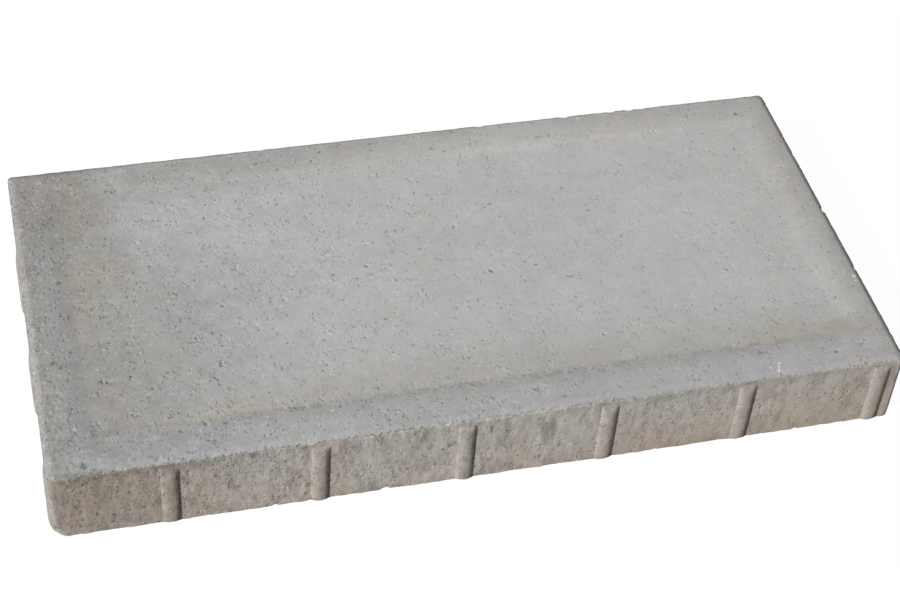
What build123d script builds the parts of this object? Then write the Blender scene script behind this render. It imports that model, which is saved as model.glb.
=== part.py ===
from build123d import *
import os

# Pressed concrete paving slab with spacer nibs round its sides, cast as one piece.
# Millimetres. The origin is the centre of the bedding face, +X runs along the length
# and +Z points up to the wearing face.

# Overall block
length = 597.0
width = 297.0
thickness = 62.0
corner_radius = 4.0

# Arris, the bevel between the sides and the wearing face
arris_width = 4.5
arris_drop = 2.2

# Rim, arched like a pillow: it falls outwards from its crown to the arris
rim_width = 13.0
rim_fall = 0.6
crown_radius = 10.0

# Flat land on the crown, then the arched slope down into the dish of the press head
land_width = 2.0
dish_slope_width = 15.0
dish_depth = 1.3
dish_radius = 16.0

# Spacer nibs, upright ribs of round section that keep the joint to the next slab
nib_width = 13.0
nib_height = 1.6
nib_root = 2.0
nib_pitch = 100.5
nib_end_gap = 15.5
nib_top_gap = 4.2
nib_ramp = 6.0

# Steps along an arched slope at which its outline is drawn, from its start to its end
arch_steps = (0, 0.5, 1)

# Levels and insets that follow from these
rim_level = thickness - rim_fall
arris_level = rim_level - arris_drop
nib_tip_level = arris_level - nib_top_gap
dish_inset = rim_width + land_width


def outline(inset, radius):
    """Rounded rectangle that follows the slab's plan at a distance inside its sides."""
    RectangleRounded(length - 2 * inset, width - 2 * inset, radius)


def between(start, end, step):
    """Value at a step from start to end."""
    return start + (end - start) * step


def nib_runs(side):
    """Distance of each nib's centre along a side, counted back from the side's far end."""
    count = int((side - 2 * nib_end_gap) // nib_pitch) + 1
    return [side - nib_end_gap - index * nib_pitch for index in range(count)]


# One nib, standing on the bedding level with its chord on the slab's side
with BuildPart() as nib:
    with BuildSketch():
        with BuildLine():
            ThreePointArc((-nib_width / 2, 0), (0, -nib_height), (nib_width / 2, 0))
            Polyline(
                (nib_width / 2, 0),
                (nib_width / 2, nib_root),
                (-nib_width / 2, nib_root),
                (-nib_width / 2, 0),
            )
        make_face()
    extrude(amount=nib_tip_level)

    # Head cut back on a slope, so that it runs into the side below the arris
    slope_normal = (0, -nib_ramp, nib_height)
    split(bisect_by=Plane(origin=(0, 0, nib_tip_level), z_dir=slope_normal), keep=Keep.BOTTOM)


with BuildPart() as paving_slab:
    # Straight sides up to the arris
    with BuildSketch():
        outline(0, corner_radius)
    extrude(amount=arris_level)

    # Arris
    with BuildSketch(Plane.XY.offset(arris_level)):
        outline(0, corner_radius)
    with BuildSketch(Plane.XY.offset(rim_level)):
        outline(arris_width, corner_radius)
    loft()

    # Outer half of the rim, arched from the arris up to the crown
    for step in arch_steps:
        with BuildSketch(Plane.XY.offset(thickness - rim_fall * (1 - step) ** 2)):
            outline(between(arris_width, rim_width, step), between(corner_radius, crown_radius, step))
    loft()

    # Inner half of the rim, arched down to the floor of the dish
    for step in arch_steps:
        with BuildSketch(Plane.XY.offset(thickness - dish_depth * step**2)):
            outline(dish_inset + dish_slope_width * step, between(crown_radius, dish_radius, step))
    loft(mode=Mode.SUBTRACT)

    # Nibs on opposite sides, half a turn apart, so that those of two neighbours never meet
    for first_turn, side, reach in ((0, length, width), (90, width, length)):
        with PolarLocations(0, 2, first_turn):
            with Locations(*[(run - side / 2, -reach / 2) for run in nib_runs(side)]):
                add(nib.part)


paving_slab.part.label = "paving_slab"
os.makedirs("parts", exist_ok=True)
export_step(paving_slab.part, "parts/paving_slab.step")
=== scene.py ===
import math

import bpy
import numpy as np
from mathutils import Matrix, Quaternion, Vector


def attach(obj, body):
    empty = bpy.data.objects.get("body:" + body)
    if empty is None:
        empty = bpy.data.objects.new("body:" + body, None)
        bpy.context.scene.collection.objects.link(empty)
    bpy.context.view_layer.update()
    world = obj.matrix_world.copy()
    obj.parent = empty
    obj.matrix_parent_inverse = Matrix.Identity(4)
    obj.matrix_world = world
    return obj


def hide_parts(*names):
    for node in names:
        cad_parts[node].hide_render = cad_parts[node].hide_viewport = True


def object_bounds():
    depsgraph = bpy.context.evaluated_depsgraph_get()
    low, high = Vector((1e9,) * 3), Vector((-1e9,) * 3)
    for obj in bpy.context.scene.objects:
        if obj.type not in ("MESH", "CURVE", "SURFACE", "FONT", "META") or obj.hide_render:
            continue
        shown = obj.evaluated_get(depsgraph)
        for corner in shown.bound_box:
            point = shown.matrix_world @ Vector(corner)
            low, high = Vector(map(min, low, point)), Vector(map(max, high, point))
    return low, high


# Dresses the cast paving slab: one closed skin with the concrete's pores, chips and worn edges,
# its weathered concrete, and the floor, light and camera of the photograph.
# Shapes are worked out in millimetres and turned into metres when the mesh is made.

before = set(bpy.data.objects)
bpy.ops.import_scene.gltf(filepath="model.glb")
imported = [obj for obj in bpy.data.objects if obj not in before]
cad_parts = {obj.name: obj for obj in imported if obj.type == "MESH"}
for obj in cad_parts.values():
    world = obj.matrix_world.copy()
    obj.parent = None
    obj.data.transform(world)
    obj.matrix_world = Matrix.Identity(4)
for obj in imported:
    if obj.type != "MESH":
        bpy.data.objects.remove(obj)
cad_low, cad_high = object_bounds()
MM = 0.001

# Form of the slab, as in the CAD
NIB_HEIGHT = 1.6
NIB_WIDTH = 13.0
NIB_PITCH = 100.5
NIB_END_GAP = 15.5
NIB_TIP_LEVEL = 55.0
NIB_RAMP = 6.0
ARRIS_WIDTH = 4.5
ARRIS_LEVEL = 59.2
RIM_LEVEL = 61.4
RIM_WIDTH = 13.0
DISH_INSET = 15.0
DISH_DEPTH = 1.3
CORNER_RADIUS = 4.0
DISH_RADIUS = 16.0
HALF_LENGTH = cad_high.x / MM - NIB_HEIGHT
HALF_WIDTH = cad_high.y / MM - NIB_HEIGHT
THICKNESS = cad_high.z / MM
SIDES = (2 * HALF_LENGTH, 2 * HALF_WIDTH, 2 * HALF_LENGTH, 2 * HALF_WIDTH)
ROUND_TRIP = sum(SIDES)

# Wear: the dish's slope runs out softly into a crease, and the arris and the nibs' heads are rubbed round
DISH_SLOPE = 21.0
CREASE_INSET = 31.0
EDGE_WEAR = 0.4
EDGE_WEAR_REACH = 1.1
NIB_HEAD_ROUND = 0.3

# Wear of the foot: its edge is ragged, and the front left corner is knocked off and clear of the floor
FOOT_RAGGED = 0.7
FOOT_NOTCHES = 0.25
FOOT_REACH = 2.5
KNOCKED_RADIUS = 10.0
KNOCKED_HEIGHT = 20.0
KNOCKED_LIFT = 2.0

# Unevenness in layers of noise: height, size of the lumps and seed. Nibs carry less of the grain and pits
FACE_WAVES = ((0.16, 70, 1), (0.09, 26, 2))
FACE_GRAIN = ((0.04, 8, 3), (0.02, 3, 4))
SIDE_WAVES = ((0.2, (60, 60, 45), 11), (0.05, (9, 9, 14), 12))
SIDE_GRAIN = ((0.03, (3, 3, 5), 13),)
NIB_WAVES = ((0.04, 6, 14),)
EDGE_WAVES = ((0.45, 5, 21), (0.35, 2, 22))
CHIP_WAVES = ((0.12, 1.3, 31),)
NIB_PLAINER = 0.75
LATTICE = 64

# Painted shade on the nibs: on one flank, in front the one away from the light, and less of it on the head
LEE_FROM = 2.0
LEE_FADE = 2.5
LEE_HEIGHT = 0.3
HEAD_SHADE_FROM = 45.0
HEAD_SHADE_RISE = 6.0
HEAD_SHADE_FADE = 2.0
HEAD_SHADE_SHARE = 0.42

# Chips knocked out of the arris and of the lower edge, as place on the outline and size
TOP_CHIPS = (
    (HALF_LENGTH, HALF_WIDTH, 3.4),
    (-109.0, HALF_WIDTH, 3.4),
    (63.5, HALF_WIDTH, 4.2),
    (132.0, HALF_WIDTH, 4.8),
    (170.7, HALF_WIDTH, 4.6),
    (186.5, HALF_WIDTH, 4.6),
    (195.5, HALF_WIDTH, 4.4),
    (HALF_LENGTH, 10.0, 4.6),
    (HALF_LENGTH, -54.0, 3.4),
    (HALF_LENGTH, 74.0, 2.4),
    (-HALF_LENGTH, 12.0, 2.6),
    (-HALF_LENGTH, 103.0, 2.2),
    (-262.0, -HALF_WIDTH, 2.4),
    (-34.0, -HALF_WIDTH, 2.2),
)
FOOT_CHIPS = (
    (-74.0, -HALF_WIDTH, 4.4),
    (-150.0, -HALF_WIDTH, 2.6),
    (120.0, -HALF_WIDTH, 2.4),
    (226.0, -HALF_WIDTH, 2.6),
    (90.0, HALF_WIDTH, 3.4),
)

# Small random nicks in both edges, none of them on the crisp right third of the front
TOP_NICKS = 420
FOOT_NICKS = 220
NICK_SIZES = (0.7, 1.7)
CRISP_RUN = (395.0, 590.0)
TOP_NICK_SEED = 41
FOOT_NICK_SEED = 42

# How far outside the edge the middle of a chip lies, as a share of its size, and the band it can reach
CHIP_OUT = 0.45
NICK_OUT = 0.6
EDGE_BAND_HEIGHT = 6.0
EDGE_BAND_WIDTH = 8.0

# Pits left by air and loose grains, in clusters and short chains
PIT_STEP = 0.4
PIT_ROUNDNESS = 0.7
FACE_CLUSTERS = 480
SIDE_CLUSTERS = 300
CREASE_CLUSTERS = 60
FACE_PIT_RADII = (0.5, 1.0)
SIDE_PIT_RADII = (0.5, 1.1)
PIT_SHRINKS = (0.6, 1)
PIT_DEPTH_SHARES = (0.35, 0.65)
PIT_STRETCHES = (1, 1.7)
PIT_TURN = 0.5
MOST_IN_CLUSTER = 4
CLUSTER_SPREAD = (2.6, 1.0)
LEFT_CROWDING = 1.5
CREASE_END_GAP = 90
CREASE_SPREAD = 1.8
FACE_PIT_SEED = 5
SIDE_PIT_SEED = 6

# Spots of the wearing face where larger pores stand together
PORE_SPOTS = (
    (-252, -71),
    (-236, 63),
    (-234, -70),
    (-233, -104),
    (-222, -83),
    (-209, 35),
    (-191, -122),
    (-188, -137),
    (-187, -44),
    (-178, -81),
    (-172, -68),
    (-72, -61),
    (-56, 9),
    (15, 38),
    (33, -13),
    (51, -140),
    (61, 137),
    (196, 116),
    (251, -134),
)
SPOT_PORES = 3
SPOT_SPREAD = 1.2
SPOT_PIT_RADII = (0.7, 1.2)
SPOT_STRETCHES = (1, 1.6)
SPOT_DEPTH_SHARE = 0.7

# Mesh: quads of about 0.8 mm, thinned where the skin is smooth, over an underside of coarse cells
CELLS_LONG = 744
CELLS_WIDE = 372
CELLS_HIGH = 74
ARRIS_CELLS = 6
UNDERSIDE_STRIDE = 12
MOST_TRIANGLES = 190_000
SHARP_ANGLE = 22.0
TOP, FRONT, RIGHT, BACK, LEFT, UNDERSIDE = range(6)

# Sheet that the skin is laid out on for its texture, in millimetres
SHEET_SIZE = 606.0
SHEET_MARGIN = 4.0
SHEET_ROWS = (303.0, 370.0, 437.0, 502.0)
SHEET_HALF = 303.0
UNDERSIDE_SHRINK = 3


def smooth(t):
    """Smooth step from 0 to 1 as t goes from 0 to 1."""
    t = np.clip(t, 0, 1)
    return t * t * (3 - 2 * t)


def noise(points, cell, seed):
    """Smooth random values from -1 to 1 on a lattice of that cell size."""
    lattice = np.random.default_rng(seed).uniform(-1, 1, (LATTICE, LATTICE, LATTICE))
    place = points / np.asarray(cell, float)
    low = np.floor(place).astype(int)
    part = smooth(place - low)
    total = np.zeros(len(points))
    for corner in np.ndindex(2, 2, 2):
        weight = np.prod(np.where(corner, part, 1 - part), axis=1)
        total += weight * lattice[tuple(((low + corner) % LATTICE).T)]
    return total


def uneven(points, layers, base=0):
    """Layers of noise on a base."""
    return sum((height * noise(points, cell, seed) for height, cell, seed in layers), base)


# Form of the slab by formula


def inset(x, y):
    """Distance inside the slab's plan, along contours whose corners grow rounder further in."""
    a = HALF_LENGTH - np.abs(x)
    b = HALF_WIDTH - np.abs(y)
    nearest = np.minimum(a, b)
    grown = np.clip(nearest / (DISH_INSET + DISH_SLOPE), 0, 1)
    radius = CORNER_RADIUS + (DISH_RADIUS - CORNER_RADIUS) * grown
    arc = (a + b + np.sqrt(np.maximum(2 * radius**2 - (a - b) ** 2, 0))) / 2 - radius
    return np.where(np.abs(a - b) < radius, arc, nearest)


def face_level(d):
    """Height of the wearing face at a distance inside the plan: arris, pillowed rim, land and dish."""
    arris = ARRIS_LEVEL + (RIM_LEVEL - ARRIS_LEVEL) * d / ARRIS_WIDTH
    out = np.clip((RIM_WIDTH - d) / (RIM_WIDTH - ARRIS_WIDTH), 0, 1)
    rim = THICKNESS - (THICKNESS - RIM_LEVEL) * out**2
    fall = DISH_DEPTH * smooth((d - DISH_INSET) / DISH_SLOPE)
    return np.where(d < ARRIS_WIDTH, arris, rim - fall)


def rounded_plan(x, y, radius):
    """Pulls the points of a rectangular plan in to its rounded corners."""
    u = np.abs(x) - (HALF_LENGTH - radius)
    v = np.abs(y) - (HALF_WIDTH - radius)
    corner = (u > 0) & (v > 0)
    pull = np.where(corner, np.maximum(u, v) / np.hypot(np.maximum(u, 1e-9), np.maximum(v, 1e-9)), 1)
    rx = np.where(corner, np.sign(x) * (HALF_LENGTH - radius + u * pull), x)
    ry = np.where(corner, np.sign(y) * (HALF_WIDTH - radius + v * pull), y)
    return rx, ry


def outward(x, y):
    """Level direction out of the nearest side, turning smoothly round the corners."""
    near_end = np.exp((np.abs(x) - HALF_LENGTH) / 2)
    near_flank = np.exp((np.abs(y) - HALF_WIDTH) / 2)
    n = np.stack([np.sign(x) * near_end, np.sign(y) * near_flank, np.zeros_like(x)], 1)
    return n / np.maximum(np.linalg.norm(n, axis=1, keepdims=True), 1e-12)


def run_round(x, y):
    """Distance round the slab's outline from its front left corner, for a point on the outline."""
    front = x + HALF_LENGTH
    right = SIDES[0] + y + HALF_WIDTH
    back = SIDES[0] + SIDES[1] + HALF_LENGTH - x
    left = ROUND_TRIP - HALF_WIDTH - y
    on_side = (y <= -HALF_WIDTH, x >= HALF_LENGTH, y >= HALF_WIDTH)
    return np.select(on_side, (front, right, back), left)


def nib_runs(side):
    """Distances along a side, going round the slab, of the middle of each nib on it."""
    count = int((side - 2 * NIB_END_GAP) // NIB_PITCH) + 1
    return side - NIB_END_GAP - NIB_PITCH * np.arange(count)


def nib_reach(run, z):
    """How far the nibs stand out at a distance round the slab and a height, and the place across them."""
    starts = np.concatenate([[0], np.cumsum(SIDES)[:-1]])
    centres = np.concatenate([start + nib_runs(side) for start, side in zip(starts, SIDES)])
    nearest = np.abs(run[:, None] - centres[None]).argmin(axis=1)
    off = run - centres[nearest]
    radius = (NIB_WIDTH**2 / 4 + NIB_HEIGHT**2) / (2 * NIB_HEIGHT)
    arch = np.sqrt(np.maximum(radius**2 - off**2, 0)) - (radius - NIB_HEIGHT)
    slope = (NIB_TIP_LEVEL - z) * NIB_HEIGHT / NIB_RAMP
    rounded = -NIB_HEAD_ROUND * np.logaddexp(-arch / NIB_HEAD_ROUND, -slope / NIB_HEAD_ROUND)
    return np.clip(rounded, 0, None), off


def painted_shade_on_nibs(nib, across, z):
    """Share of painted shade by how far a nib stands out, the place across it and the height."""
    # Painted shade on the flank away from the light, and a smaller share of it on the head
    lee = np.clip(nib / LEE_HEIGHT, 0, 1) * smooth((across - LEE_FROM) / LEE_FADE)
    inside = smooth((NIB_WIDTH / 2 - np.abs(across)) / HEAD_SHADE_FADE)
    head = smooth((z - HEAD_SHADE_FROM) / HEAD_SHADE_RISE) * inside
    return np.maximum(lee, HEAD_SHADE_SHARE * head)


# Pits


def stamp_pit(depths, x, y, radius, stretch, angle, depth):
    """Sinks one oval pit into a sheet of depths."""
    reach = radius * stretch
    low_i, high_i = (int((x + r) / PIT_STEP) for r in (-reach, reach))
    low_j, high_j = (int((y + r) / PIT_STEP) for r in (-reach, reach))
    rows = slice(max(low_j, 0), max(high_j + 2, 0))
    columns = slice(max(low_i, 0), max(high_i + 2, 0))
    part = depths[rows, columns]
    j, i = np.mgrid[0 : part.shape[0], 0 : part.shape[1]]
    u = (i + columns.start) * PIT_STEP - x
    v = (j + rows.start) * PIT_STEP - y
    along = (u * math.cos(angle) + v * math.sin(angle)) / (radius * stretch)
    across = (v * math.cos(angle) - u * math.sin(angle)) / radius
    bowl = np.clip(1 - along**2 - across**2, 0, 1) ** PIT_ROUNDNESS
    np.maximum(part, depth * bowl, out=part)


def stamp_clusters(depths, centres, radii, rng):
    """Sinks a cluster or short chain of pits round each centre."""
    for x, y in centres:
        heading = rng.uniform(0, math.pi)
        for _ in range(rng.integers(1, MOST_IN_CLUSTER + 1)):
            along, across = rng.normal(0, CLUSTER_SPREAD)
            px = x + along * math.cos(heading) - across * math.sin(heading)
            py = y + along * math.sin(heading) + across * math.cos(heading)
            radius = rng.uniform(*radii) * rng.uniform(*PIT_SHRINKS)
            depth = radius * rng.uniform(*PIT_DEPTH_SHARES)
            stretch = rng.uniform(*PIT_STRETCHES)
            stamp_pit(depths, px, py, radius, stretch, heading + rng.normal(0, PIT_TURN), depth)


def face_pits():
    """Depths of the pits in the wearing face: more on its left, along the crease and at the pore spots."""
    rng = np.random.default_rng(FACE_PIT_SEED)
    depths = np.zeros((int(SIDES[1] / PIT_STEP) + 2, int(SIDES[0] / PIT_STEP) + 2))
    x = SIDES[0] * rng.uniform(0, 1, FACE_CLUSTERS) ** LEFT_CROWDING
    y = rng.uniform(0, SIDES[1], FACE_CLUSTERS)
    stamp_clusters(depths, np.stack([x, y], 1), FACE_PIT_RADII, rng)
    crease_x = rng.uniform(CREASE_END_GAP, SIDES[0] - CREASE_END_GAP, CREASE_CLUSTERS)
    crease_y = rng.normal(CREASE_INSET, CREASE_SPREAD, CREASE_CLUSTERS)
    stamp_clusters(depths, np.stack([crease_x, crease_y], 1), FACE_PIT_RADII, rng)
    for spot_x, spot_y in np.repeat(PORE_SPOTS, SPOT_PORES, axis=0):
        px, py = rng.normal((spot_x + HALF_LENGTH, spot_y + HALF_WIDTH), SPOT_SPREAD)
        radius = rng.uniform(*SPOT_PIT_RADII)
        stretch = rng.uniform(*SPOT_STRETCHES)
        angle = rng.uniform(0, math.pi)
        stamp_pit(depths, px, py, radius, stretch, angle, SPOT_DEPTH_SHARE * radius)
    return depths


def side_pits():
    """Depths of the pits in the sides, laid out flat: distance round the slab by height."""
    rng = np.random.default_rng(SIDE_PIT_SEED)
    depths = np.zeros((int(ARRIS_LEVEL / PIT_STEP) + 2, int(ROUND_TRIP / PIT_STEP) + 2))
    run = rng.uniform(0, ROUND_TRIP, SIDE_CLUSTERS)
    z = rng.uniform(1, ARRIS_LEVEL - 1, SIDE_CLUSTERS)
    stamp_clusters(depths, np.stack([run, z], 1), SIDE_PIT_RADII, rng)
    return depths


def sample(depths, x, y):
    """Depth at each place of a sheet of depths, blended between its points."""
    u = np.clip(x / PIT_STEP, 0, depths.shape[1] - 1.001)
    v = np.clip(y / PIT_STEP, 0, depths.shape[0] - 1.001)
    i, j = u.astype(int), v.astype(int)
    fu, fv = u - i, v - j
    lower = depths[j, i] * (1 - fu) + depths[j, i + 1] * fu
    upper = depths[j + 1, i] * (1 - fu) + depths[j + 1, i + 1] * fu
    return lower * (1 - fv) + upper * fv


# Skin: the form with its relief


def worn_edge(points, off_edge):
    """How far the arris's outer edge is rubbed back, at a distance from that edge."""
    rubbed = EDGE_WEAR * uneven(points, EDGE_WAVES, 1)
    return rubbed * np.exp(-((off_edge / EDGE_WEAR_REACH) ** 2))


def top_skin(flat_x, flat_y):
    """Points of the wearing face and its arris, and the depth of the pits there."""
    x, y = rounded_plan(flat_x, flat_y, CORNER_RADIUS)
    d = inset(x, y)
    points = np.stack([x, y, face_level(d)], 1)
    waves = uneven(points, FACE_WAVES)
    grain = uneven(points, FACE_GRAIN)
    pits = sample(face_pits(), x + HALF_LENGTH, y + HALF_WIDTH) * smooth(d / 3)
    points[:, 2] += (waves + grain) * smooth(d / 8) - pits
    out = outward(flat_x, flat_y) + np.array((0, 0, 1))
    return points - out * (worn_edge(points, d) / math.sqrt(2))[:, None], pits


def wear_foot(points, out, flat_x, flat_y, z):
    """Makes the lower edge of the sides ragged, and lifts the knocked corner clear of the floor."""
    foot = np.exp(-z / FOOT_REACH)
    plan = points * (1, 1, 0)
    notches = FOOT_NOTCHES * np.abs(noise(plan, 2, 16))
    ragged = FOOT_RAGGED * (0.5 + 0.5 * noise(plan, 6, 15)) + notches
    corner_gap = np.hypot(flat_x + HALF_LENGTH, flat_y + HALF_WIDTH)
    lift = KNOCKED_LIFT * smooth(1 - corner_gap / KNOCKED_RADIUS) * smooth(1 - z / KNOCKED_HEIGHT)
    points[:, 2] += ragged * foot + lift
    points -= out * (0.5 * ragged * foot)[:, None]


def side_skin(flat_x, flat_y, level):
    """Points of the sides at levels from 0 at the floor to 1 at the arris, and pit, nib and painted shade
    there.
    """
    knocked = smooth(1 - level * ARRIS_LEVEL / KNOCKED_HEIGHT) * ((flat_x < 0) & (flat_y < 0))
    radius = CORNER_RADIUS + (KNOCKED_RADIUS - CORNER_RADIUS) * knocked
    x, y = rounded_plan(flat_x, flat_y, radius)
    z = level * ARRIS_LEVEL
    points = np.stack([x, y, z], 1)
    run = run_round(flat_x, flat_y)
    out = outward(flat_x, flat_y)
    nib, across_nib = nib_reach(run, z)
    plain = 1 - NIB_PLAINER * np.clip(nib / NIB_HEIGHT, 0, 1)
    below_arris = ARRIS_LEVEL - z
    waves = uneven(points, SIDE_WAVES)
    grain = uneven(points, SIDE_GRAIN)
    pits = sample(side_pits(), run, z) * smooth(below_arris / 2) * plain
    reach = (waves + grain * plain) * smooth(below_arris / 5) - pits
    points += out * (nib * uneven(points, NIB_WAVES, 1) + reach)[:, None]
    points -= (out + np.array((0, 0, 1))) * (worn_edge(points, below_arris) / math.sqrt(2))[:, None]
    wear_foot(points, out, flat_x, flat_y, z)
    return points, pits, nib / NIB_HEIGHT, painted_shade_on_nibs(nib, across_nib, z)


def bite(points, centres, radii):
    """Dents the skin by balls: points inside a ball move out to its surface."""
    for centre, radius in zip(centres, radii):
        near = np.flatnonzero(np.abs(points - centre).max(axis=1) < radius)
        off = points[near] - centre
        gap = np.linalg.norm(off, axis=1)
        rough = radius * uneven(points[near], CHIP_WAVES, 1)
        push = np.where(gap < rough, rough / np.maximum(gap, 1e-6), 1)
        points[near] = centre + off * push[:, None]


def outline_point(run):
    """Point on the slab's outline at a distance round it from the front left corner."""
    corners = np.array([(-1, -1), (1, -1), (1, 1), (-1, 1), (-1, -1)]) * (HALF_LENGTH, HALF_WIDTH)
    ends = np.concatenate([[0], np.cumsum(SIDES)])
    return np.array([np.interp(run, ends, corners[:, 0]), np.interp(run, ends, corners[:, 1])])


def chip_edge(points, level, chips, nicks, rise, seed):
    """Knocks chips and small random nicks out of the edge at a level. Rise is 1 for an upper edge."""
    rng = np.random.default_rng(seed)
    runs = rng.uniform(0, ROUND_TRIP, nicks)
    runs = runs[(runs < CRISP_RUN[0]) | (runs > CRISP_RUN[1])]
    sizes = rng.uniform(*NICK_SIZES, len(runs))
    small = [(*outline_point(run), size) for run, size in zip(runs, sizes)]
    spots = np.array([*chips, *small])
    out = outward(spots[:, 0], spots[:, 1]) + np.array((0, 0, rise))
    edge = np.column_stack([spots[:, :2], np.full(len(spots), level)])
    outside = np.where(np.arange(len(spots)) < len(chips), CHIP_OUT, NICK_OUT)
    centres = edge + out / math.sqrt(2) * (spots[:, 2] * outside)[:, None]
    at_level = np.abs(points[:, 2] - level) < EDGE_BAND_HEIGHT
    near_edge = np.flatnonzero(at_level & (inset(points[:, 0], points[:, 1]) < EDGE_BAND_WIDTH))
    part = points[near_edge]
    bite(part, centres, spots[:, 2])
    points[near_edge] = part


# Mesh of the skin


def ring_index(i, j):
    """Place round the slab of the grid point (i, j) on its outline."""
    if j == 0:
        return i
    if i == CELLS_LONG:
        return CELLS_LONG + j
    if j == CELLS_WIDE:
        return 2 * CELLS_LONG + CELLS_WIDE - i
    return (2 * CELLS_LONG + 2 * CELLS_WIDE - j) % (2 * (CELLS_LONG + CELLS_WIDE))


def underside_points(xs, ys, first):
    """Points inside the underside, and the number of each by its place in the grid."""
    numbers = {}
    points = []
    for i in range(UNDERSIDE_STRIDE, CELLS_LONG, UNDERSIDE_STRIDE):
        for j in range(UNDERSIDE_STRIDE, CELLS_WIDE, UNDERSIDE_STRIDE):
            numbers[i, j] = first + len(points)
            points.append((xs[i], ys[j], 0.0))
    return np.array(points), numbers


def underside_faces(ring, inner):
    """Coarse cells of the underside. Those at its border take in every point of the lowest ring."""
    step = UNDERSIDE_STRIDE
    faces = []
    for i in range(0, CELLS_LONG, step):
        for j in range(0, CELLS_WIDE, step):
            corners = ((i, j), (i, j + step), (i + step, j + step), (i + step, j))
            face = []
            for (i0, j0), (i1, j1) in zip(corners, corners[1:] + corners[:1]):
                border = (i0 == i1 and i0 in (0, CELLS_LONG)) or (j0 == j1 and j0 in (0, CELLS_WIDE))
                if border:
                    along = ((i0 + (i1 - i0) * t // step, j0 + (j1 - j0) * t // step) for t in range(step))
                    face += [int(ring[ring_index(*place)]) for place in along]
                elif (i0, j0) in inner:
                    face.append(inner[i0, j0])
                else:
                    face.append(int(ring[ring_index(i0, j0)]))
            faces.append(face)
    return faces


def grid_lines(half, cells):
    """Places of the grid's lines across the slab, some on the arris's inner edges and the nibs' roots."""
    arris = np.linspace(half - ARRIS_WIDTH, half, ARRIS_CELLS + 1)
    middle = np.linspace(-arris[0], arris[0], cells - 2 * ARRIS_CELLS + 1)
    lines = np.concatenate([-arris[:0:-1], middle, arris[1:]])
    centres = nib_runs(2 * half) - half
    for root in np.concatenate([centres - NIB_WIDTH / 2, centres + NIB_WIDTH / 2]):
        for place in (root, -root):
            lines[np.argmin(np.abs(lines - place))] = place
    return lines


def skin_parts():
    """Points of the whole skin, pit, nib and painted shade at each, its faces, and the side each face lies
    on.
    """
    xs = grid_lines(HALF_LENGTH, CELLS_LONG)
    ys = grid_lines(HALF_WIDTH, CELLS_WIDE)
    top_ids = np.arange((CELLS_LONG + 1) * (CELLS_WIDE + 1)).reshape(CELLS_WIDE + 1, CELLS_LONG + 1)
    grid_x, grid_y = (g.ravel() for g in np.meshgrid(xs, ys))
    top_points, top_pits = top_skin(grid_x, grid_y)

    # Rings of the sides, from the floor up to the outline of the top
    outline = np.concatenate([top_ids[0, :-1], top_ids[:-1, -1], top_ids[-1, :0:-1], top_ids[:0:-1, 0]])
    count = len(outline)
    levels = np.repeat(np.arange(CELLS_HIGH) / CELLS_HIGH, count)
    ring_x = np.tile(grid_x[outline], CELLS_HIGH)
    ring_y = np.tile(grid_y[outline], CELLS_HIGH)
    side_points, side_depths, side_nibs, side_painted_shade = side_skin(ring_x, ring_y, levels)
    rings = len(top_points) + np.arange(CELLS_HIGH * count).reshape(CELLS_HIGH, count)
    rings = np.concatenate([rings, outline[None]])
    inner_points, inner = underside_points(xs, ys, len(top_points) + len(side_points))

    # Faces
    corners = [top_ids[:-1, :-1], top_ids[:-1, 1:], top_ids[1:, 1:], top_ids[1:, :-1]]
    top = np.stack(corners, -1).reshape(-1, 4)
    turned = np.roll(rings, -1, axis=1)
    walls = np.stack([rings[:-1], turned[:-1], turned[1:], rings[1:]], -1).reshape(-1, 4)
    wall_of = np.repeat((FRONT, RIGHT, BACK, LEFT), (CELLS_LONG, CELLS_WIDE, CELLS_LONG, CELLS_WIDE))
    under = underside_faces(rings[0], inner)
    faces = top.tolist() + walls.tolist() + under
    sides = np.concatenate([
        np.full(len(top), TOP),
        np.tile(wall_of, CELLS_HIGH),
        np.full(len(under), UNDERSIDE),
    ])

    # Points with the edges chipped, and what each of them carries
    points = np.concatenate([top_points, side_points, inner_points])
    chip_edge(points, ARRIS_LEVEL, TOP_CHIPS, TOP_NICKS, 1, TOP_NICK_SEED)
    chip_edge(points, 0, FOOT_CHIPS, FOOT_NICKS, -1, FOOT_NICK_SEED)
    points[:, 2] = np.maximum(points[:, 2], 0)
    none_on_top = np.zeros(len(top_points))
    none_under = np.zeros(len(inner_points))
    carried = {
        "pit": np.concatenate([top_pits, side_depths, none_under]),
        "nib": np.concatenate([none_on_top, side_nibs, none_under]),
        "nib_painted_shade": np.concatenate([none_on_top, side_painted_shade, none_under]),
    }
    return points, carried, faces, sides


def make_skin():
    """The slab's skin as one object, thinned to the triangle limit."""
    points, carried, faces, sides = skin_parts()
    mesh = bpy.data.meshes.new("slab_skin")
    mesh.from_pydata((points * MM).tolist(), [], faces)
    for name, values in carried.items():
        mesh.attributes.new(name, "FLOAT", "POINT").data.foreach_set("value", values.astype(np.float32))
    mesh.attributes.new("side", "INT", "FACE").data.foreach_set("value", sides.astype(np.int32))
    skin = bpy.data.objects.new("slab_skin", mesh)
    bpy.context.scene.collection.objects.link(skin)
    thin = skin.modifiers.new("thin", "DECIMATE")
    thin.ratio = MOST_TRIANGLES / sum(len(face) - 2 for face in faces)
    thinned = bpy.data.meshes.new_from_object(skin.evaluated_get(bpy.context.evaluated_depsgraph_get()))
    skin.modifiers.clear()
    skin.data = thinned
    bpy.data.meshes.remove(mesh)
    thinned.name = "slab_skin"
    thinned.shade_smooth()
    thinned.set_sharp_from_angle(angle=math.radians(SHARP_ANGLE))
    lay_out(thinned)
    return skin


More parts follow.
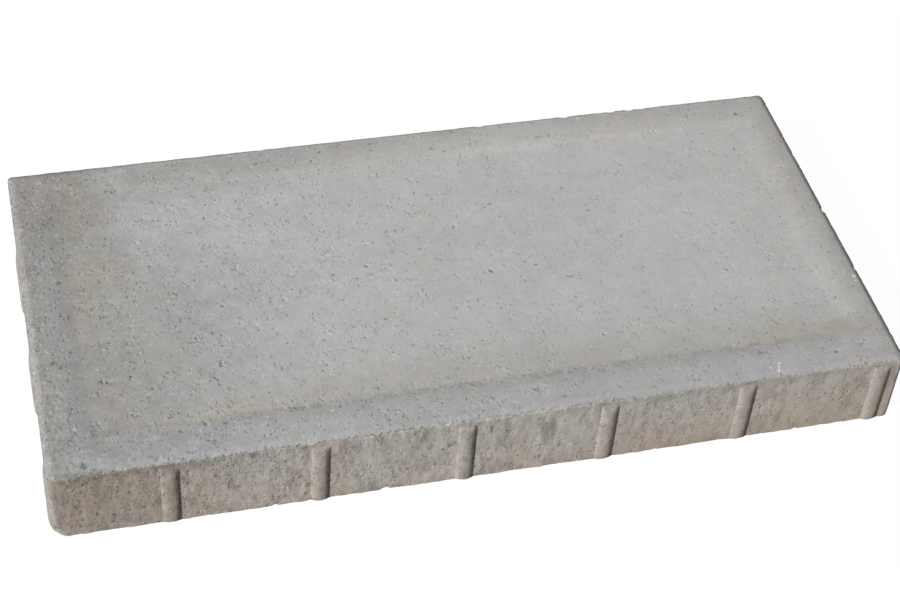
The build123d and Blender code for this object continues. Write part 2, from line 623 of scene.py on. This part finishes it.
def lay_out(mesh):
    """Lays the skin out flat for its texture: the sides in strips above the face, the underside shrunk."""
    corner_of = np.empty(len(mesh.loops), np.int32)
    mesh.loops.foreach_get("vertex_index", corner_of)
    place = np.empty(3 * len(mesh.vertices), np.float32)
    mesh.vertices.foreach_get("co", place)
    x, y, z = (place.reshape(-1, 3)[corner_of] / MM).T
    side = np.empty(len(mesh.polygons), np.int32)
    mesh.attributes["side"].data.foreach_get("value", side)
    corners = np.empty(len(mesh.polygons), np.int32)
    mesh.polygons.foreach_get("loop_total", corners)
    side = np.repeat(side, corners)
    along = x + HALF_LENGTH
    across = y + HALF_WIDTH
    strips = {
        TOP: (along, across),
        FRONT: (along, SHEET_ROWS[0] + z),
        BACK: (along, SHEET_ROWS[1] + z),
        RIGHT: (across, SHEET_ROWS[2] + z),
        LEFT: (SHEET_HALF + across, SHEET_ROWS[2] + z),
        UNDERSIDE: (along / UNDERSIDE_SHRINK, SHEET_ROWS[3] + across / UNDERSIDE_SHRINK),
    }
    flat = np.zeros((len(side), 2), np.float32)
    for name, (u, v) in strips.items():
        flat[side == name] = np.stack([u, v], 1)[side == name]
    sheet = (flat + SHEET_MARGIN) / SHEET_SIZE
    mesh.uv_layers.new(name="OFBake").uv.foreach_set("vector", sheet.astype(np.float32).ravel())


# Concrete


class Shading:
    """Short calls for the nodes of one material. Each gives the output to carry on from."""

    def __init__(self, name):
        self.material = bpy.data.materials.new(name)
        self.material.use_nodes = True
        self.tree = self.material.node_tree
        self.shader = self.tree.nodes["Principled BSDF"]

    def add(self, kind, inputs, **settings):
        """A node with its settings, and its inputs set or linked."""
        made = self.tree.nodes.new(kind)
        for setting, value in settings.items():
            setattr(made, setting, value)
        for socket, value in inputs.items():
            self.feed(made.inputs[socket], value)
        return made

    def feed(self, socket, value):
        """Sets an input, or links it to another node's output."""
        if isinstance(value, bpy.types.NodeSocket):
            self.tree.links.new(value, socket)
        else:
            socket.default_value = value

    def attribute(self, name):
        """Value that the skin carries at each point."""
        return self.add("ShaderNodeAttribute", {}, attribute_name=name).outputs["Fac"]

    def math(self, operation, a, b=0.0, c=0.0):
        """One operation on numbers."""
        return self.add("ShaderNodeMath", {0: a, 1: b, 2: c}, operation=operation).outputs[0]

    def times(self, first, *others):
        """Product of numbers."""
        for other in others:
            first = self.math("MULTIPLY", first, other)
        return first

    def off(self, value, middle):
        """Distance of a value from a middle."""
        return self.math("ABSOLUTE", self.math("SUBTRACT", value, middle))

    def between(self, value, low, high, start=0.0, end=1.0):
        """Smooth change from start to end as the value goes from low to high."""
        inputs = {"Value": value, "From Min": low, "From Max": high, "To Min": start, "To Max": end}
        return self.add("ShaderNodeMapRange", inputs, interpolation_type="SMOOTHSTEP").outputs["Result"]

    def along(self, x, low, high, start, end):
        """Smooth change along the slab between two places, given as shares of half its length."""
        return self.between(x, low * HALF_LENGTH * MM, high * HALF_LENGTH * MM, start, end)

    def mix(self, amount, a, b, blend="MIX"):
        """Blend of two colours."""
        made = self.add("ShaderNodeMix", {"Factor": amount}, data_type="RGBA", blend_type=blend)
        self.feed(made.inputs[6], a)
        self.feed(made.inputs[7], b)
        return made.outputs[2]

    def cloud(self, place, size, detail=2.0, roughness=0.5):
        """Cloudy noise from 0 to 1 with lumps of a size in millimetres."""
        inputs = {"Vector": place, "Scale": 1 / (size * MM), "Detail": detail, "Roughness": roughness}
        return self.add("ShaderNodeTexNoise", inputs).outputs["Fac"]

    def swing(self, place, size, detail, roughness=0.5):
        """Cloudy noise about zero."""
        return self.math("SUBTRACT", self.cloud(place, size, detail, roughness), 0.5)

    def hues(self, place, size, reach):
        """Colours that wander about white in lumps of a size, over a reach in each channel."""
        inputs = {"Vector": place, "Scale": 1 / (size * MM), "Detail": 2.0}
        wandering = self.add("ShaderNodeTexNoise", inputs).outputs["Color"]
        inputs = {0: wandering, 1: reach, 2: tuple(1 - share / 2 for share in reach)}
        return self.add("ShaderNodeVectorMath", inputs, operation="MULTIPLY_ADD").outputs[0]

    def stretched(self, place, factors):
        """Place scaled along each axis, so that a pattern grows longer where the factor is small."""
        return self.add("ShaderNodeVectorMath", {0: place, 1: factors}, operation="MULTIPLY").outputs[0]

    def pushed(self, place, size, reach):
        """Place pushed about by noise with lumps of a size, over a reach, in millimetres."""
        swirl = self.add("ShaderNodeTexNoise", {"Vector": place, "Scale": 1 / (size * MM)}).outputs["Color"]
        inputs = {0: swirl, 1: (0.5, 0.5, 0.5)}
        centred = self.add("ShaderNodeVectorMath", inputs, operation="SUBTRACT").outputs[0]
        inputs = {0: centred, 1: (reach * MM, reach * MM, reach * MM), 2: place}
        return self.add("ShaderNodeVectorMath", inputs, operation="MULTIPLY_ADD").outputs[0]

    def plan_gap(self, place, x, y):
        """Distance in plan from a spot given in millimetres."""
        plan = self.stretched(place, (1, 1, 0))
        inputs = {0: plan, 1: (x * MM, y * MM, 0)}
        return self.add("ShaderNodeVectorMath", inputs, operation="DISTANCE").outputs["Value"]

    def oval(self, place, x, y, along, across):
        """Distance in plan from the middle of an oval given in millimetres, 1 on the oval."""
        inputs = {0: place, 1: (1 / (along * MM), 1 / (across * MM), 0), 2: (-x / along, -y / across, 0)}
        scaled = self.add("ShaderNodeVectorMath", inputs, operation="MULTIPLY_ADD").outputs[0]
        return self.add("ShaderNodeVectorMath", {0: scaled}, operation="LENGTH").outputs["Value"]

    def grains(self, place, cell):
        """Distance from the nearest grain, as a share of the cell, and that grain's own random colour."""
        made = self.add("ShaderNodeTexVoronoi", {"Vector": place, "Scale": 1 / (cell * MM)})
        return made.outputs["Distance"], made.outputs["Color"]

    def ramp(self, distance, stops):
        """Tint by a distance in millimetres. Each stop is a distance, a brightness and a warmth."""
        reach = stops[-1][0]
        made = self.add("ShaderNodeValToRGB", {0: self.math("DIVIDE", distance, reach)})
        elements = made.color_ramp.elements
        for index, (at, brightness, warmth) in enumerate(stops):
            stop = elements[index] if index < 2 else elements.new(at / reach)
            stop.position = at / reach
            stop.color = tint(brightness, warmth)
        return made.outputs["Color"]


def tint(brightness, warmth):
    """Grey of a brightness, turned towards brown by its warmth."""
    return (brightness * (1 + warmth / 2), brightness, brightness * (1 - warmth), 1)


# Places along the slab between which its look changes, as shares of half its length
FAR_LEFT = -0.9
MID_LEFT = -0.5
MIDDLE = 0.0
MID_RIGHT = 0.6
FAR_RIGHT = 0.8

# Tints of the wearing face by the distance from each side: brightness against the middle, and warmth
FRONT_TINTS = (
    (0, 0.76, 0.025),
    (6, 0.79, 0.0),
    (13, 0.86, -0.01),
    (20, 0.87, 0.0),
    (26, 0.82, 0.01),
    (30.5, 0.80, 0.03),
    (34.5, 0.85, 0.06),
    (38, 0.86, 0.068),
    (46, 0.865, 0.05),
    (56, 0.905, 0.03),
    (68, 0.95, 0.015),
    (100, 1.0, 0.0),
)
BACK_TINTS = (
    (0, 1.05, 0.02),
    (4, 0.96, 0.03),
    (9, 0.85, 0.035),
    (14, 0.86, 0.035),
    (25, 0.88, 0.03),
    (32, 0.98, 0.03),
    (50, 1.06, 0.015),
    (70, 1.0, 0.0),
)
RIGHT_TINTS = (
    (0, 0.88, 0.04),
    (10, 0.85, 0.045),
    (16, 0.85, 0.045),
    (27, 0.91, 0.03),
    (35, 0.99, 0.025),
    (60, 0.975, 0.02),
    (110, 1.0, 0.008),
)
LEFT_TINTS = (
    (0, 0.68, 0.045),
    (7, 0.63, 0.04),
    (12, 0.69, 0.03),
    (22, 0.76, 0.015),
    (32, 0.71, 0.03),
    (40, 0.72, 0.06),
    (60, 0.76, 0.045),
    (100, 0.83, 0.02),
    (150, 0.92, 0.005),
    (200, 1.0, 0.0),
)

# Blotches of the wearing face: size, and strength on the left and on the right
BLOTCHES = (
    (4, 0.29, 0.2),
    (12, 0.48, 0.2),
)

# Clouds of hue in the cement skin: size, and reach in red, green and blue
HUE_CLOUDS = (
    (26, (0.055, 0.03, 0.09)),
    (5, (0.075, 0.045, 0.10)),
)

# Colours of the cement, of the sides and of what lies on them
FACE_GREY = 0.41
SIDE_GREY = (0.475, 0.455, 0.42, 1)
SIDE_BROWN = (0.485, 0.43, 0.372, 1)
SIDE_DARK = (0.29, 0.25, 0.21, 1)
SIDE_LEFT = (0.345, 0.288, 0.245, 1)
SIDE_RUST = (0.44, 0.30, 0.19, 1)
SIDE_FOOT = (0.45, 0.365, 0.30, 1)
NIB_TONE = (0.37, 0.33, 0.288, 1)
LEFT_END = (0.33, 0.313, 0.28, 1)
HOLLOW_DARK = (0.10, 0.095, 0.085, 1)
HOLE_BROWN = (0.15, 0.12, 0.095, 1)
GRAIN_PALE = (0.62, 0.61, 0.58, 1)
STAIN_BROWN = (0.38, 0.315, 0.26, 1)

# Tints that multiply what they lie on
# Painted shade on the nibs' flank away from the light and on their heads
NIB_PAINTED_SHADE = (0.62, 0.58, 0.54, 1)
RIGHT_END = (1.02, 0.955, 0.97, 1)
CREASE_DARKENING = (0.84, 0.86, 0.82, 1)

# Weathered patches of the wearing face: middle, reach along and across, and the tint that multiplies it
PATCHES = (
    (-272.0, 108.0, 46.0, 48.0, (0.94, 0.92, 0.89, 1)),
    (-160.0, 120.0, 95.0, 26.0, (0.92, 0.92, 0.92, 1)),
    (80.0, 127.0, 70.0, 22.0, (1.08, 1.08, 1.08, 1)),
    (-200.0, 148.0, 130.0, 7.0, (0.88, 0.88, 0.88, 1)),
    (-276.0, -148.0, 20.0, 5.0, (0.74, 0.77, 0.76, 1)),
    (-262.0, -139.0, 12.0, 5.0, (1.12, 1.12, 1.13, 1)),
    (272.0, -110.0, 22.0, 13.0, (0.9, 0.895, 0.89, 1)),
    (-200.0, -138.0, 45.0, 18.0, (0.95, 0.95, 0.98, 1)),
    (-243.0, -132.0, 36.0, 20.0, (0.99, 1.0, 1.05, 1)),
    (262.0, -132.0, 46.0, 24.0, (1.0, 0.98, 0.98, 1)),
    (236.0, -109.0, 58.0, 9.0, (0.97, 0.95, 0.92, 1)),
    (-205.0, -111.0, 66.0, 6.5, (1.02, 0.99, 0.955, 1)),
    (178.0, 121.0, 60.0, 12.0, (1.03, 1.01, 0.985, 1)),
)

# Brown stains: middle, reach along and across, and strength
STAINS = (
    (-247.0, 37.0, 34.0, 24.0, 0.55),
    (-262.0, 4.0, 14.0, 42.0, 0.4),
)

# Marks on the wearing face: place, reach, strength and colour
MARKS = (
    (-51.8, 129.4, 2.4, 0.9, (0.50, 0.30, 0.15, 1)),
    (-284.0, -49.0, 2.6, 0.85, (0.20, 0.11, 0.08, 1)),
    (-53.4, -46.4, 2.1, 0.95, (0.42, 0.17, 0.15, 1)),
    (-273.9, -143.0, 3.4, 0.85, (0.13, 0.13, 0.13, 1)),
    (-272.6, 28.0, 2.8, 0.75, (0.12, 0.12, 0.115, 1)),
    (-269.0, 125.0, 1.8, 0.75, (0.14, 0.13, 0.12, 1)),
    (268.2, 126.0, 2.2, 0.8, (0.10, 0.10, 0.09, 1)),
    (-276.0, -110.0, 1.8, 0.7, (0.62, 0.61, 0.60, 1)),
    (-107.0, -124.5, 1.8, 0.8, (0.66, 0.66, 0.64, 1)),
    (142.0, 141.5, 2.4, 0.6, (0.62, 0.62, 0.61, 1)),
    (292.5, -64.5, 2.2, 0.8, (0.70, 0.69, 0.67, 1)),
    (292.5, -70.0, 1.8, 0.8, (0.66, 0.65, 0.63, 1)),
    (206.5, -138.5, 1.5, 0.7, (0.70, 0.70, 0.69, 1)),
    (205.6, -141.2, 1.3, 0.7, (0.70, 0.70, 0.69, 1)),
    (204.5, -143.8, 1.6, 0.7, (0.70, 0.70, 0.69, 1)),
    (199.0, -141.0, 1.2, 0.7, (0.70, 0.70, 0.69, 1)),
)

# Level of the pores along the arris, and how far each kind of opening rises in the fine relief
EDGE_PORE_LEVEL = 58.9
OPENING_RISES = (
    ("hollow", -0.24),
    ("pocks", -0.15),
    ("raised", 0.1),
    ("holes", -0.12),
    ("edge_pores", -0.3),
)


def face_tints(s, place, y, front, back, right, left):
    """Cement grey of the wearing face, browner and darker towards its sides by the distance from each."""
    left_wander = s.math("MULTIPLY_ADD", s.cloud(place, 90, 3), 90, -45)
    cleaner = s.times(s.between(left, 52, 100), s.between(y, 0, 0.6 * HALF_WIDTH * MM))
    worn = s.math("ADD", left, s.times(left_wander, s.between(left, 30, 120)))
    worn = s.math("MULTIPLY_ADD", cleaner, 90, worn)
    tints = s.mix(1.0, s.ramp(front, FRONT_TINTS), s.ramp(back, BACK_TINTS), "DARKEN")
    tints = s.mix(1.0, tints, s.ramp(right, RIGHT_TINTS), "DARKEN")
    tints = s.mix(1.0, tints, s.ramp(worn, LEFT_TINTS), "DARKEN")
    return s.mix(1.0, tints, (FACE_GREY, FACE_GREY, FACE_GREY, 1), "MULTIPLY")


def face_weather(s, colour, place, front, right, left):
    """Clouds, blotches that fade to the right and grow on the rim, patches, and darkening along the crease.
    """
    shade = s.between(s.cloud(place, 45, 3), 0.3, 0.7, 0.97, 1.03)
    on_rim = s.between(front, 24, 34, 0.08, 0)
    for size, on_left, on_right in BLOTCHES:
        strength = s.math("ADD", s.between(left, 0, 300, on_left, on_right), on_rim)
        shade = s.math("MULTIPLY_ADD", s.swing(place, size, 3, 0.6), strength, shade)
    colour = s.mix(1.0, colour, shade, "MULTIPLY")
    for size, reach in HUE_CLOUDS:
        colour = s.mix(1.0, colour, s.hues(place, size, reach), "MULTIPLY")
    swirled = s.pushed(place, 20, 16)
    for patch_x, patch_y, along, across, tone in PATCHES:
        near = s.between(s.oval(swirled, patch_x, patch_y, along, across), 0.5, 1.1, 1, 0)
        colour = s.mix(near, colour, tone, "MULTIPLY")
    # Darker in clumps along the front crease
    near_crease = s.between(s.off(front, CREASE_INSET), 0.5, 5, 1, 0)
    gathered = s.between(s.cloud(place, 14, 4, 0.6), 0.42, 0.6)
    darkened = s.times(near_crease, gathered, s.between(left, 60, 150), s.between(right, 50, 100))
    return s.mix(darkened, colour, CREASE_DARKENING, "MULTIPLY")


def face_marks(s, colour, place):
    """Brown stains, and single marks with ragged and broken outlines."""
    spread = s.pushed(place, 18, 24)
    mottled = s.between(s.cloud(place, 5, 3), 0.3, 0.6)
    for stain_x, stain_y, along, across, strength in STAINS:
        stain = s.between(s.oval(spread, stain_x, stain_y, along, across), 0.1, 1, strength, 0)
        colour = s.mix(s.times(stain, mottled), colour, STAIN_BROWN)
    ragged = s.pushed(place, 2.2, 3.2)
    broken = s.between(s.cloud(place, 1.5, 2), 0.36, 0.5, 0.35, 1)
    for mark_x, mark_y, size, strength, tone in MARKS:
        near = s.between(s.plan_gap(ragged, mark_x, mark_y), 0.4 * size * MM, size * MM, strength, 0)
        colour = s.mix(s.times(near, broken), colour, tone)
    return colour


def face_colour(s, place, x, y):
    """Wearing face: its cement by the distance from each side in millimetres, weather, stains and marks."""
    wander = s.math("MULTIPLY_ADD", s.cloud(place, 30, 3), 6, -3)
    front = s.math("ADD", s.math("MULTIPLY_ADD", y, 1 / MM, HALF_WIDTH), wander)
    back = s.math("ADD", s.math("MULTIPLY_ADD", y, -1 / MM, HALF_WIDTH), wander)
    right = s.math("ADD", s.math("MULTIPLY_ADD", x, -1 / MM, HALF_LENGTH), wander)
    left = s.math("MULTIPLY_ADD", x, 1 / MM, HALF_LENGTH)
    colour = face_tints(s, place, y, front, back, right, left)
    colour = face_weather(s, colour, place, front, right, left)
    return face_marks(s, colour, place)


def side_base(s, place, streaks, x, y, z):
    """Concrete of the sides: grey-beige, browner at the foot and the left, with dark and rusty patches."""
    height = s.math("MULTIPLY_ADD", z, -0.3 / (ARRIS_LEVEL * MM), 0.6)
    greyer = s.between(s.math("ABSOLUTE", x), 50 * MM, 130 * MM, -0.12, 0)
    browner = s.math("ADD", s.cloud(streaks, 40, 3, 0.6), s.math("ADD", height, greyer))
    colour = s.mix(s.between(browner, 0.7, 1.15), SIDE_GREY, SIDE_BROWN)
    at_front = s.between(y, -HALF_WIDTH * MM, -0.9 * HALF_WIDTH * MM, 1, 0)
    above_foot = s.between(z, 2 * MM, 14 * MM, 0.6, 1)
    leftward = s.times(s.along(x, FAR_LEFT, -0.45, 1, 0), at_front, above_foot, 0.85)
    colour = s.mix(leftward, colour, SIDE_LEFT)
    dark = s.between(s.cloud(streaks, 13, 4, 0.7), 0.5, 0.72)
    colour = s.mix(s.times(dark, s.along(x, MIDDLE, FAR_RIGHT, 0.85, 0.7)), colour, SIDE_DARK)
    rust = s.between(s.cloud(place, 6, 3, 0.6), 0.56, 0.72, 0, 0.3)
    colour = s.mix(rust, colour, SIDE_RUST)
    soaked = s.times(s.between(z, 4 * MM, 26 * MM, 1, 0), s.between(x, 0, 60 * MM))
    bands = s.between(s.cloud(s.stretched(place, (0.3, 1, 1.2)), 9, 3, 0.6), 0.35, 0.6, 0.2, 0.75)
    return s.mix(s.times(soaked, bands), colour, SIDE_FOOT)


def side_shade(s, streaks, x, z):
    """Light and dark lumps of the sides, rougher on the left, and a dark band under parts of the arris."""
    rough = s.along(x, FAR_LEFT, FAR_RIGHT, 0.95, 0.15)
    fine = s.times(s.swing(streaks, 2.4, 3, 0.6), rough)
    lumpy = s.along(x, MIDDLE, FAR_RIGHT, 1.0, 0.5)
    coarse = s.math("MULTIPLY_ADD", s.swing(streaks, 5, 3, 0.6), lumpy, 1)
    left_part = s.between(x, -190 * MM, -110 * MM, 1, 0.1)
    right_part = s.between(x, 30 * MM, 120 * MM, 0.1, 1)
    short_of_end = s.between(x, 250 * MM, 275 * MM, 1, 0.2)
    outer = s.times(s.math("MAXIMUM", left_part, right_part), short_of_end)
    under_edge = s.between(z, (ARRIS_LEVEL - 11) * MM, ARRIS_LEVEL * MM, 0, -0.2)
    return s.math("ADD", s.math("ADD", fine, coarse), s.times(under_edge, outer))


def side_colour(s, place, streaks, x, y, z, nib, nib_painted_shade):
    """Rough cast sides: their concrete, the nibs and their painted shade, the two ends, and lumps of shade.
    """
    colour = side_base(s, place, streaks, x, y, z)
    below_head = s.between(z, (NIB_TIP_LEVEL - 10) * MM, NIB_TIP_LEVEL * MM, 1, 0.3)
    colour = s.mix(s.times(s.between(nib, 0.0, 0.12, 0, 0.65), below_head), colour, NIB_TONE)
    # Painted shade on the nibs' flank away from the light and on their heads
    colour = s.mix(nib_painted_shade, colour, NIB_PAINTED_SHADE, "MULTIPLY")
    at_left = s.between(x, (1 - HALF_LENGTH) * MM, (6 - HALF_LENGTH) * MM, 0.9, 0)
    colour = s.mix(at_left, colour, LEFT_END)
    at_right = s.between(x, (HALF_LENGTH - 9.5) * MM, (HALF_LENGTH - 6.5) * MM)
    colour = s.mix(at_right, colour, RIGHT_END, "MULTIPLY")
    return s.mix(1.0, colour, side_shade(s, streaks, x, z), "MULTIPLY")


def open_skin(s, place, streaks, x, y, z, nib, on_face):
    """How far the cement skin is open to the sand below: more on the left, the sides and the edges."""
    leftward = s.along(x, FAR_LEFT, FAR_RIGHT, 0.06, -0.065)
    on_rim = s.between(y, (24 - HALF_WIDTH) * MM, (32 - HALF_WIDTH) * MM, 0.05, 0)
    left_rim = s.between(x, (16 - HALF_LENGTH) * MM, (42 - HALF_LENGTH) * MM, 0.12, 0)
    more = s.math("ADD", leftward, s.math("MAXIMUM", on_rim, left_rim))
    face = s.between(s.math("ADD", s.cloud(place, 8, 2), more), 0.44, 0.68)
    near_crease = s.between(s.off(y, (CREASE_INSET - HALF_WIDTH) * MM), 1 * MM, 4 * MM, 0.7, 0)
    crease = s.times(near_crease, s.along(x, 0.65, FAR_RIGHT, 1, 0))
    face = s.math("MAXIMUM", face, crease)
    off_nibs = s.math("MULTIPLY_ADD", nib, -0.35, 1)
    side = s.times(s.between(s.cloud(streaks, 6, 2), 0.34, 0.6), off_nibs)
    near_edge = s.between(s.off(z, ARRIS_LEVEL * MM), 0.4 * MM, 1.3 * MM, 1, 0)
    edge = s.times(near_edge, s.along(x, MIDDLE, 0.5, 1, 0.4))
    share = s.math("MULTIPLY_ADD", on_face, s.math("SUBTRACT", face, side), side)
    return s.math("MAXIMUM", share, edge)


def openings(s, place, z, bare, on_face, on_side):
    """Share of each kind of opening: hollows, raised crumbs, holes in the sides, pocks and edge pores."""
    crumb = s.cloud(s.stretched(place, (1, 0.7, 0.8)), 2.0, 2.2, 0.55)
    holes = s.between(s.cloud(s.stretched(place, (1, 1, 0.8)), 3.6, 2.5, 0.55), 0.31, 0.44, 1, 0)
    pocks = s.between(s.cloud(s.stretched(place, (1, 0.75, 1)), 3.2, 2.5, 0.6), 0.30, 0.41, 1, 0)
    edge_pores = s.between(s.cloud(place, 3.2, 2, 0.6), 0.40, 0.47, 1, 0)
    near_edge = s.between(s.off(z, EDGE_PORE_LEVEL * MM), 0.3 * MM, 0.9 * MM, 1, 0)
    return {
        "hollow": s.times(s.between(crumb, 0.28, 0.43, 1, 0), bare),
        "raised": s.times(s.between(crumb, 0.56, 0.68), bare),
        "holes": s.times(holes, on_side, s.between(s.cloud(place, 15, 2), 0.36, 0.58)),
        "pocks": s.times(pocks, on_face, s.between(s.cloud(place, 16, 2), 0.40, 0.58)),
        "edge_pores": s.times(edge_pores, near_edge),
    }


def loose_grains(s, place):
    """Loose pale grains, in less than half of the cells and each of its own size."""
    gap, kind = s.grains(s.pushed(place, 1.5, 1.0), 8.0)
    chance, size, _ = s.add("ShaderNodeSeparateColor", {0: kind}).outputs
    reach = s.times(s.math("GREATER_THAN", chance, 0.55), s.math("MULTIPLY_ADD", size, 0.06, 0.03))
    return s.between(s.math("SUBTRACT", gap, reach), -0.03, 0.02, 1, 0)


def make_concrete():
    """Weathered pressed concrete: grey cement on top, open brown texture on the sides, pores and grains."""
    s = Shading("concrete")
    place = s.add("ShaderNodeTexCoord", {}).outputs["Object"]
    x, y, z = s.add("ShaderNodeSeparateXYZ", {0: place}).outputs
    streaks = s.stretched(place, (1, 1, 0.4))
    pit, nib, nib_painted_shade = (s.attribute(name) for name in ("pit", "nib", "nib_painted_shade"))

    # Wearing face against sides, with a border that is more frayed on the left
    frayed = s.along(x, MIDDLE, MID_RIGHT, 1.2 * MM, 0.4 * MM)
    border = s.math("ADD", z, s.times(s.swing(place, 2.5, 2), frayed))
    on_face = s.between(border, (ARRIS_LEVEL - 0.5) * MM, (ARRIS_LEVEL - 0.25) * MM)
    on_side = s.times(s.math("SUBTRACT", 1, on_face), s.math("MULTIPLY_ADD", nib, -0.5, 1))
    bare = open_skin(s, place, streaks, x, y, z, nib, on_face)
    opened = openings(s, place, z, bare, on_face, on_side)

    # Colour with fine sand, then pits, openings, specks and grains. The dark colour in pits and pores is
    # partly dirt and partly painted shade inside them.
    of_side = side_colour(s, place, streaks, x, y, z, nib, nib_painted_shade)
    colour = s.mix(on_face, of_side, face_colour(s, place, x, y))
    sandy = s.math("ADD", s.times(on_side, s.along(x, FAR_LEFT, MIDDLE, 0.9, 0.14)), 0.1)
    grain = s.math("MULTIPLY_ADD", s.swing(place, 0.9, 2), sandy, 1)
    colour = s.mix(1.0, colour, grain, "MULTIPLY")
    for amount, strength, tone in (
        (s.between(pit, 0.15, 0.6), 0.6, HOLLOW_DARK),
        (opened["holes"], s.along(x, FAR_LEFT, MID_RIGHT, 0.72, 0.42), HOLE_BROWN),
        (opened["hollow"], s.along(x, FAR_LEFT, 0.1, 0.54, 0.46), HOLLOW_DARK),
        (opened["pocks"], s.along(x, MIDDLE, MID_RIGHT, 0.5, 0.4), HOLLOW_DARK),
        (opened["edge_pores"], s.along(x, MID_LEFT, MID_RIGHT, 0.5, 0.1), HOLLOW_DARK),
        (s.between(s.cloud(place, 0.9, 1), 0.24, 0.34, 1, 0), 0.24, HOLLOW_DARK),
        (opened["raised"], 0.3, GRAIN_PALE),
        (loose_grains(s, place), 0.62, GRAIN_PALE),
    ):
        colour = s.mix(s.times(amount, strength), colour, tone)
    s.feed(s.shader.inputs["Base Color"], colour)

    # Fine relief in millimetres, calmer on the face and towards the right
    height = s.math("MULTIPLY_ADD", on_face, -0.04, 0.11)
    calmer = s.along(x, 0.3, FAR_RIGHT, 1, 0.6)
    relief = s.times(s.cloud(place, 0.9, 3, 0.6), height, calmer)
    for name, rise in OPENING_RISES:
        relief = s.math("MULTIPLY_ADD", opened[name], rise, relief)
    bump = s.add("ShaderNodeBump", {"Height": relief, "Distance": MM, "Strength": 1.0}).outputs["Normal"]
    s.feed(s.shader.inputs["Normal"], bump)
    s.feed(s.shader.inputs["Roughness"], s.between(s.cloud(place, 12, 2), 0.3, 0.7, 0.82, 0.95))
    s.shader.inputs["Specular IOR Level"].default_value = 0.25
    return s.material


skin = make_skin()
skin.data.materials.append(make_concrete())
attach(skin, "root")
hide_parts("paving_slab")

# Floor, pale and even, so that it neither colours the sides nor carries a hard shadow
FLOOR_SIZE = 60.0
FLOOR_REFLECTS = 0.04
FLOOR_GLOW = 0.975


def make_floor():
    """Wide white floor that the slab rests on."""
    half = FLOOR_SIZE / 2
    mesh = bpy.data.meshes.new("floor")
    corners = [(-half, -half, 0), (half, -half, 0), (half, half, 0), (-half, half, 0)]
    mesh.from_pydata(corners, [], [(0, 1, 2, 3)])
    floor = bpy.data.objects.new("floor", mesh)
    bpy.context.scene.collection.objects.link(floor)
    floor.visible_diffuse = False
    floor.visible_glossy = False
    material = bpy.data.materials.new("floor_white")
    material.use_nodes = True
    shader = material.node_tree.nodes["Principled BSDF"]
    shader.inputs["Base Color"].default_value = (FLOOR_REFLECTS, FLOOR_REFLECTS, FLOOR_REFLECTS, 1)
    shader.inputs["Roughness"].default_value = 1.0
    shader.inputs["Specular IOR Level"].default_value = 0.0
    shader.inputs["Emission Color"].default_value = (1, 1, 1, 1)
    shader.inputs["Emission Strength"].default_value = FLOOR_GLOW
    mesh.materials.append(material)
    return floor


make_floor()

# Light: one broad soft lamp from the front left over an even surround
LIGHT_TURN = 62.0
LIGHT_HEIGHT = 36.0
LIGHT_SPREAD = 15.0
LIGHT_STRENGTH = 5.07
SURROUND = 0.13


def make_light():
    """Soft key light and even surround."""
    turn = math.radians(LIGHT_TURN)
    height = math.radians(LIGHT_HEIGHT)
    level = math.cos(height)
    to_light = Vector((-level * math.sin(turn), -level * math.cos(turn), math.sin(height)))
    lamp = bpy.data.lights.new("key", "SUN")
    lamp.energy = LIGHT_STRENGTH
    lamp.angle = math.radians(LIGHT_SPREAD)
    key = bpy.data.objects.new("key", lamp)
    key.rotation_mode = "QUATERNION"
    key.rotation_quaternion = to_light.to_track_quat("Z", "Y")
    bpy.context.scene.collection.objects.link(key)
    world = bpy.data.worlds.new("surround")
    world.use_nodes = True
    world.node_tree.nodes["Background"].inputs["Color"].default_value = (1, 1, 1, 1)
    world.node_tree.nodes["Background"].inputs["Strength"].default_value = SURROUND
    bpy.context.scene.world = world


make_light()

# Camera, solved from the slab's outline in the photograph
IMAGE_WIDTH = 900
FOCAL_PIXELS = 1974.5
SENSOR_WIDTH = 36.0
CAMERA_TARGET = Vector((4.6, -6.0, 30.0)) * MM
CAMERA_DISTANCE = 1443.7 * MM
CAMERA_AZIMUTH = -17.22
CAMERA_ELEVATION = 44.85
CAMERA_ROLL = 5.02


def make_camera():
    """Camera at the photograph's viewing angle, turned by the photograph's tilt."""
    azimuth = math.radians(CAMERA_AZIMUTH)
    elevation = math.radians(CAMERA_ELEVATION)
    level = math.cos(elevation)
    back = Vector((math.sin(azimuth) * level, -math.cos(azimuth) * level, math.sin(elevation)))
    lens = bpy.data.cameras.new("camera")
    lens.sensor_width = SENSOR_WIDTH
    lens.lens = SENSOR_WIDTH * FOCAL_PIXELS / IMAGE_WIDTH
    camera = bpy.data.objects.new("camera", lens)
    camera.location = CAMERA_TARGET + back * CAMERA_DISTANCE
    camera.rotation_mode = "QUATERNION"
    roll = Quaternion((0, 0, 1), math.radians(CAMERA_ROLL))
    camera.rotation_quaternion = (-back).to_track_quat("-Z", "Y") @ roll
    bpy.context.scene.collection.objects.link(camera)
    bpy.context.scene.camera = camera


make_camera()
bpy.context.scene.view_settings.view_transform = "Standard"
